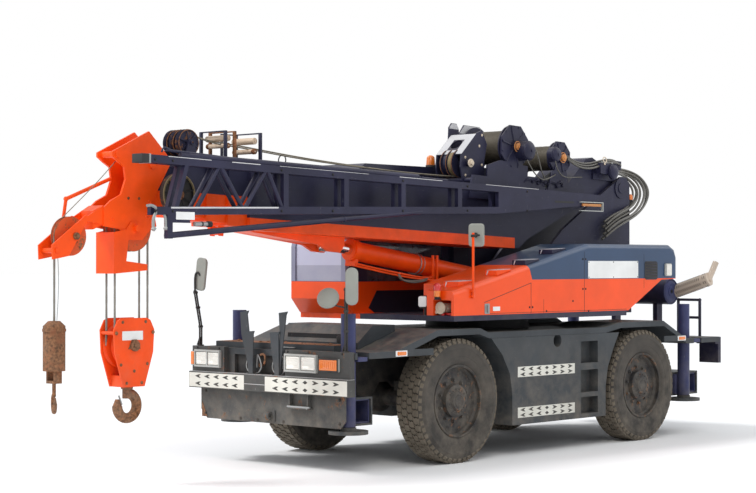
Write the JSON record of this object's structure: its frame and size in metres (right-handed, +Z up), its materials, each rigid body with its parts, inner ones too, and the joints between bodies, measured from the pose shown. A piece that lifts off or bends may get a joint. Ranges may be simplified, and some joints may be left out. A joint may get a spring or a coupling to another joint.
{
  "type": "mobile crane",
  "caption": "Two-axle mobile crane: slewing upper with side cab, low telescopic boom, stowed lattice jib, two hooks, steerable wheels and outriggers.",
  "frame": {"origin": "middle of the footprint's bounding box, on the ground", "axes": "+X forward along the vehicle and the boom, +Y to its left, +Z up"},
  "size_m": [9.1005, 2.27, 3.5029],
  "materials": {
    "bare_steel": "greased steel",
    "black_plastic": "matt black",
    "black_rubber": "black hose rubber",
    "carrier_grey": "satin charcoal grey paint",
    "chrome": "hard chrome",
    "glass": "tinted glass",
    "lamp_glass": "clear lamp glass",
    "navy_paint": "satin dark navy paint",
    "orange_paint": "gloss orange paint",
    "rim_grey": "worn dark grey paint",
    "rust": "rusty iron",
    "shield": "aluminised heat shield",
    "tyre": "dusty black rubber"
  },
  "bodies": {
    "carrier": {"chassis_frame": "carrier_grey", "carrier_deck": "carrier_grey", "deck_covers": "carrier_grey", "side_boxes": "carrier_grey", "front_bumper": "carrier_grey", "headlamps": "lamp_glass", "hook_holder": "carrier_grey", "outrigger_boxes": "carrier_grey", "engine_block": "bare_steel", "exhaust": "shield", "rear_guard": "carrier_grey", "carrier_mirrors": "black_plastic", "axles": "carrier_grey"},
    "superstructure": {"turntable": "navy_paint", "counterweight": "navy_paint", "oil_tank": "navy_paint", "power_house": "orange_paint", "upper_fittings": "black_plastic", "cab_shell": "navy_paint", "cab_glass": "glass", "cab_fittings": "black_plastic"},
    "cab_door": {"cab_door": "navy_paint", "cab_door_glass": "glass"},
    "luff_barrel": {"luff_barrel": "orange_paint"},
    "luff_rod": {"luff_rod": "chrome"},
    "boom": {"boom_base": "navy_paint", "winch_frame": "navy_paint", "jib": "navy_paint", "boom_hoses": "black_rubber"},
    "main_winch_drum": {"main_winch_drum": "navy_paint"},
    "aux_winch_drum": {"aux_winch_drum": "navy_paint"},
    "boom_section_2": {"boom_section_2": "orange_paint"},
    "boom_section_3": {"boom_section_3": "orange_paint"},
    "boom_tip": {"boom_tip": "orange_paint", "boom_head": "orange_paint", "head_sheaves": "bare_steel"},
    "main_hook_block": {"main_hook_block": "orange_paint"},
    "main_hook": {"main_hook": "rust"},
    "aux_hook_weight": {"aux_hook_weight": "rust"},
    "aux_hook": {"aux_hook": "rust"},
    "knuckle_front_left": {"knuckle_front_left": "carrier_grey"},
    "wheel_front_left": {"tyre_front_left": "tyre", "rim_front_left": "rim_grey"},
    "beam_front_left": {"outrigger_beam_front_left": "navy_paint"},
    "jack_front_left": {"outrigger_jack_front_left": "chrome"},
    "knuckle_front_right": {"knuckle_front_right": "carrier_grey"},
    "wheel_front_right": {"tyre_front_right": "tyre", "rim_front_right": "rim_grey"},
    "beam_front_right": {"outrigger_beam_front_right": "navy_paint"},
    "jack_front_right": {"outrigger_jack_front_right": "chrome"},
    "knuckle_rear_left": {"knuckle_rear_left": "carrier_grey"},
    "wheel_rear_left": {"tyre_rear_left": "tyre", "rim_rear_left": "rim_grey"},
    "beam_rear_left": {"outrigger_beam_rear_left": "navy_paint"},
    "jack_rear_left": {"outrigger_jack_rear_left": "chrome"},
    "knuckle_rear_right": {"knuckle_rear_right": "carrier_grey"},
    "wheel_rear_right": {"tyre_rear_right": "tyre", "rim_rear_right": "rim_grey"},
    "beam_rear_right": {"outrigger_beam_rear_right": "navy_paint"},
    "jack_rear_right": {"outrigger_jack_rear_right": "chrome"}
  },
  "joints": [
    {"name": "steer_front_left", "type": "hinge", "parent": "carrier", "child": "knuckle_front_left", "pos_m": [0.29591, 0.8, 0.614], "axis": [0, 0, 1], "range_deg": [-30, 30]},
    {"name": "wheel_spin_front_left", "type": "hinge", "parent": "knuckle_front_left", "child": "wheel_front_left", "pos_m": [0.29591, 0.9375, 0.614], "axis": [0, 1, 0], "continuous": true},
    {"name": "steer_front_right", "type": "hinge", "parent": "carrier", "child": "knuckle_front_right", "pos_m": [0.29591, -0.8, 0.614], "axis": [0, 0, 1], "range_deg": [-30, 30]},
    {"name": "wheel_spin_front_right", "type": "hinge", "parent": "knuckle_front_right", "child": "wheel_front_right", "pos_m": [0.29591, -0.9375, 0.614], "axis": [0, 1, 0], "continuous": true},
    {"name": "steer_rear_left", "type": "hinge", "parent": "carrier", "child": "knuckle_rear_left", "pos_m": [-2.88409, 0.8, 0.614], "axis": [0, 0, 1], "range_deg": [-30, 30]},
    {"name": "wheel_spin_rear_left", "type": "hinge", "parent": "knuckle_rear_left", "child": "wheel_rear_left", "pos_m": [-2.88409, 0.9375, 0.614], "axis": [0, 1, 0], "continuous": true},
    {"name": "steer_rear_right", "type": "hinge", "parent": "carrier", "child": "knuckle_rear_right", "pos_m": [-2.88409, -0.8, 0.614], "axis": [0, 0, 1], "range_deg": [-30, 30]},
    {"name": "wheel_spin_rear_right", "type": "hinge", "parent": "knuckle_rear_right", "child": "wheel_rear_right", "pos_m": [-2.88409, -0.9375, 0.614], "axis": [0, 1, 0], "continuous": true},
    {"name": "beam_slide_front_left", "type": "slide", "parent": "carrier", "child": "beam_front_left", "axis": [0, 1, 0], "range_m": [0, 1.2]},
    {"name": "jack_front_left", "type": "slide", "parent": "beam_front_left", "child": "jack_front_left", "axis": [0, 0, -1], "range_m": [0, 0.45]},
    {"name": "beam_slide_front_right", "type": "slide", "parent": "carrier", "child": "beam_front_right", "axis": [0, -1, 0], "range_m": [0, 1.2]},
    {"name": "jack_front_right", "type": "slide", "parent": "beam_front_right", "child": "jack_front_right", "axis": [0, 0, -1], "range_m": [0, 0.45]},
    {"name": "beam_slide_rear_left", "type": "slide", "parent": "carrier", "child": "beam_rear_left", "axis": [0, 1, 0], "range_m": [0, 1.2]},
    {"name": "jack_rear_left", "type": "slide", "parent": "beam_rear_left", "child": "jack_rear_left", "axis": [0, 0, -1], "range_m": [0, 0.45]},
    {"name": "beam_slide_rear_right", "type": "slide", "parent": "carrier", "child": "beam_rear_right", "axis": [0, -1, 0], "range_m": [0, 1.2]},
    {"name": "jack_rear_right", "type": "slide", "parent": "beam_rear_right", "child": "jack_rear_right", "axis": [0, 0, -1], "range_m": [0, 0.45]},
    {"name": "slew", "type": "hinge", "parent": "carrier", "child": "superstructure", "pos_m": [-1.29409, 0, 1.395], "axis": [0, 0, 1], "continuous": true},
    {"name": "cab_door_hinge", "type": "hinge", "parent": "superstructure", "child": "cab_door", "pos_m": [-0.80609, -1.084, 1.515], "axis": [0, 0, -1], "range_deg": [0, 80]},
    {"name": "boom_luff", "type": "hinge", "parent": "superstructure", "child": "boom", "pos_m": [-3.44409, 0.05, 2.85], "axis": [0, -1, 0], "range_deg": [0, 75]},
    {"name": "luff_barrel_pivot", "type": "hinge", "parent": "superstructure", "child": "luff_barrel", "pos_m": [-2.19409, 0.05, 1.686], "axis": [0, -1, 0], "range_deg": [0, 84]},
    {"name": "luff_rod_slide", "type": "slide", "parent": "luff_barrel", "child": "luff_rod", "axis": [0.9899, 0, 0.1416], "range_m": [0, 2.43]},
    {"name": "main_winch_spin", "type": "hinge", "parent": "boom", "child": "main_winch_drum", "pos_m": [-1.5233, 0.05, 3.24565], "axis": [0, 1, 0], "continuous": true},
    {"name": "aux_winch_spin", "type": "hinge", "parent": "boom", "child": "aux_winch_drum", "pos_m": [-2.34273, 0.05, 3.16057], "axis": [0, 1, 0], "continuous": true},
    {"name": "extend_2", "type": "slide", "parent": "boom", "child": "boom_section_2", "axis": [0.9993, 0, 0.0366], "range_m": [0, 3.2]},
    {"name": "extend_3", "type": "slide", "parent": "boom_section_2", "child": "boom_section_3", "axis": [0.9993, 0, 0.0366], "range_m": [0, 3.2]},
    {"name": "extend_tip", "type": "slide", "parent": "boom_section_3", "child": "boom_tip", "axis": [0.9993, 0, 0.0366], "range_m": [0, 3.2]},
    {"name": "main_hook_swing", "type": "hinge", "parent": "boom_tip", "child": "main_hook_block", "pos_m": [3.64796, 0.05, 2.28422], "axis": [0, -1, 0], "range_deg": [-75, 0]},
    {"name": "aux_hook_swing", "type": "hinge", "parent": "boom_tip", "child": "aux_hook_weight", "pos_m": [4.29696, 0.05, 2.20922], "axis": [0, -1, 0], "range_deg": [-75, 0]},
    {"name": "main_hook_swivel", "type": "hinge", "parent": "main_hook_block", "child": "main_hook", "pos_m": [3.64796, 0.05, 0.88], "axis": [0, 0, 1], "continuous": true},
    {"name": "aux_hook_swivel", "type": "hinge", "parent": "aux_hook_weight", "child": "aux_hook", "pos_m": [4.44826, 0.05, 0.945], "axis": [0, 0, 1], "continuous": true}
  ],
  "couplings": [
    {"joint": "steer_front_right", "follows": "steer_front_left", "ratio": 1},
    {"joint": "steer_rear_right", "follows": "steer_rear_left", "ratio": 1},
    {"joint": "luff_barrel_pivot", "follows": "boom_luff", "ratio": 1.0072},
    {"joint": "luff_rod_slide", "follows": "boom_luff", "m_per_rad": 1.5884},
    {"joint": "extend_3", "follows": "extend_2", "ratio": 1},
    {"joint": "extend_tip", "follows": "extend_2", "ratio": 1},
    {"joint": "main_hook_swing", "follows": "boom_luff", "ratio": -1},
    {"joint": "aux_hook_swing", "follows": "boom_luff", "ratio": -1}
  ]
}
